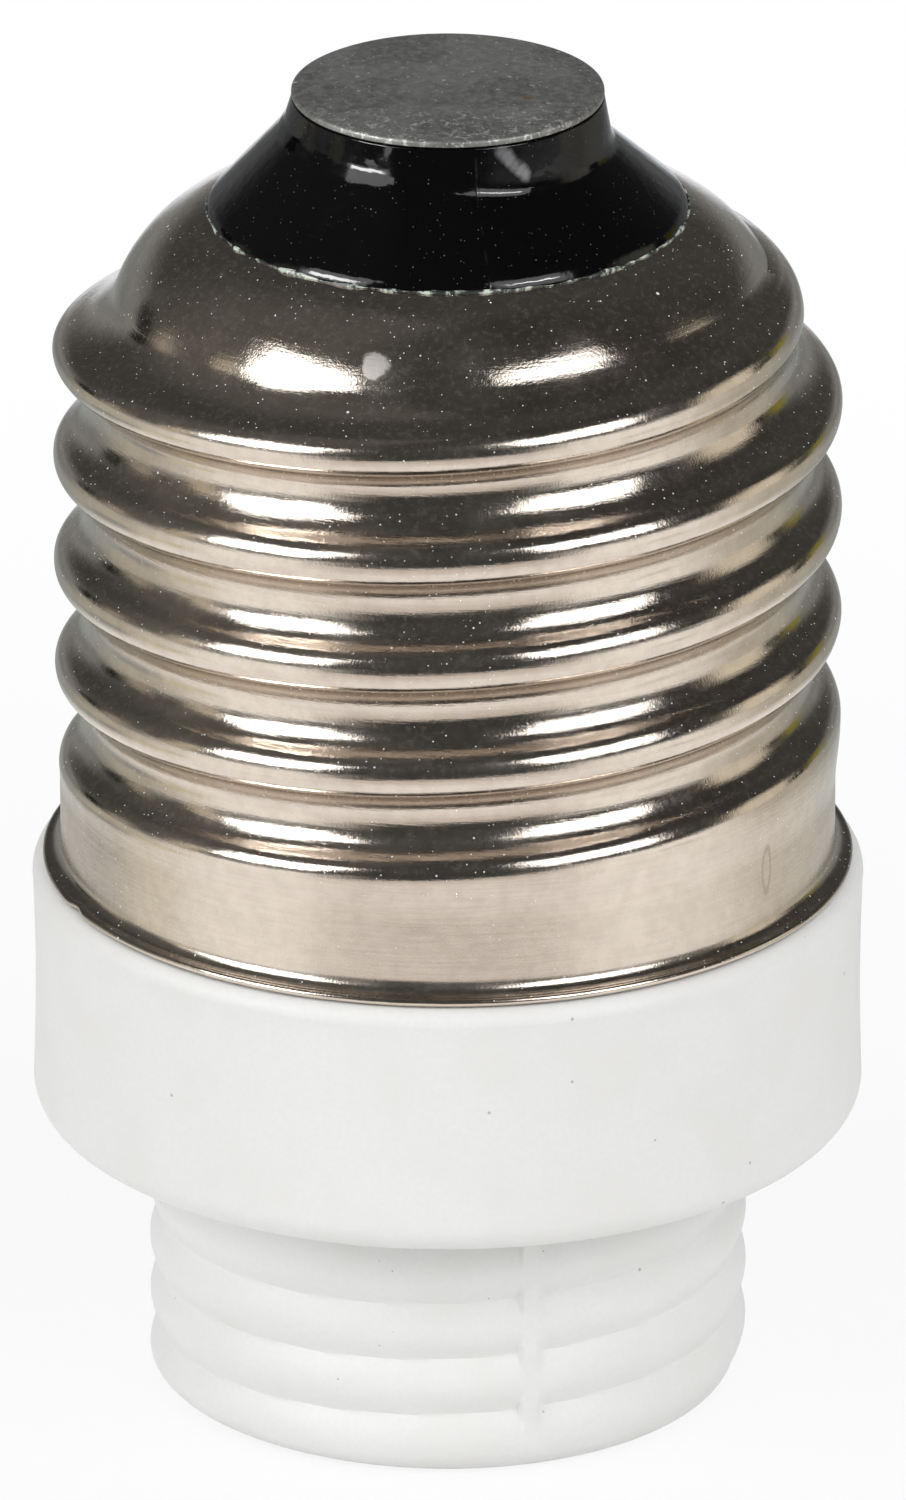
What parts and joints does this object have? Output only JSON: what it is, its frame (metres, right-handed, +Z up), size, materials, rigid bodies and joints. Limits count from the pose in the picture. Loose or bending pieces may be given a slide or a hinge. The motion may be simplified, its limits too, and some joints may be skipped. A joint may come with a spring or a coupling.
{
  "type": "lamp socket adapter",
  "caption": "Lamp socket adapter: Edison screw cap on a white moulded body with a wide collar and a threaded neck that holds a pin-lamp socket.",
  "frame": {"origin": "centre of the neck's end face, which the adapter stands on, on the axis of the cap", "axes": "+Z up the axis, from the neck's end to the contact plate; the lamp's two pins lie along X; the picture looks along +Y"},
  "size_m": [0.0276, 0.0276, 0.0457],
  "materials": {
    "contact_metal": "tinned brass, dull grey, specked and lightly scratched",
    "black_moulding": "glossy black moulding with a fine mould line and a pale flash line at the rim",
    "nickel_sheet": "nickel-plated drawn sheet, warm and bright, with fine drawn lines and dust",
    "white_moulding": "matte white moulding with tiny dark specks",
    "ceramic": "unglazed off-white ceramic",
    "spring_metal": "nickel-plated bronze strip",
    "screw_steel": "zinc-plated steel",
    "live_insulation": "brown silicone insulation",
    "neutral_insulation": "blue silicone insulation",
    "solder": "dull tin solder"
  },
  "bodies": {
    "root": {"contact_plate": "contact_metal", "cap_insulator": "black_moulding", "screw_shell": "nickel_sheet", "adapter_body": "white_moulding", "socket_insert": "ceramic", "contact_cover": "ceramic", "live_contact": "spring_metal", "neutral_contact": "spring_metal", "cover_screw_front": "screw_steel", "cover_screw_back": "screw_steel", "live_lead": "live_insulation", "neutral_lead": "neutral_insulation", "tip_solder": "solder", "shell_solder": "solder"}
  },
  "joints": []
}
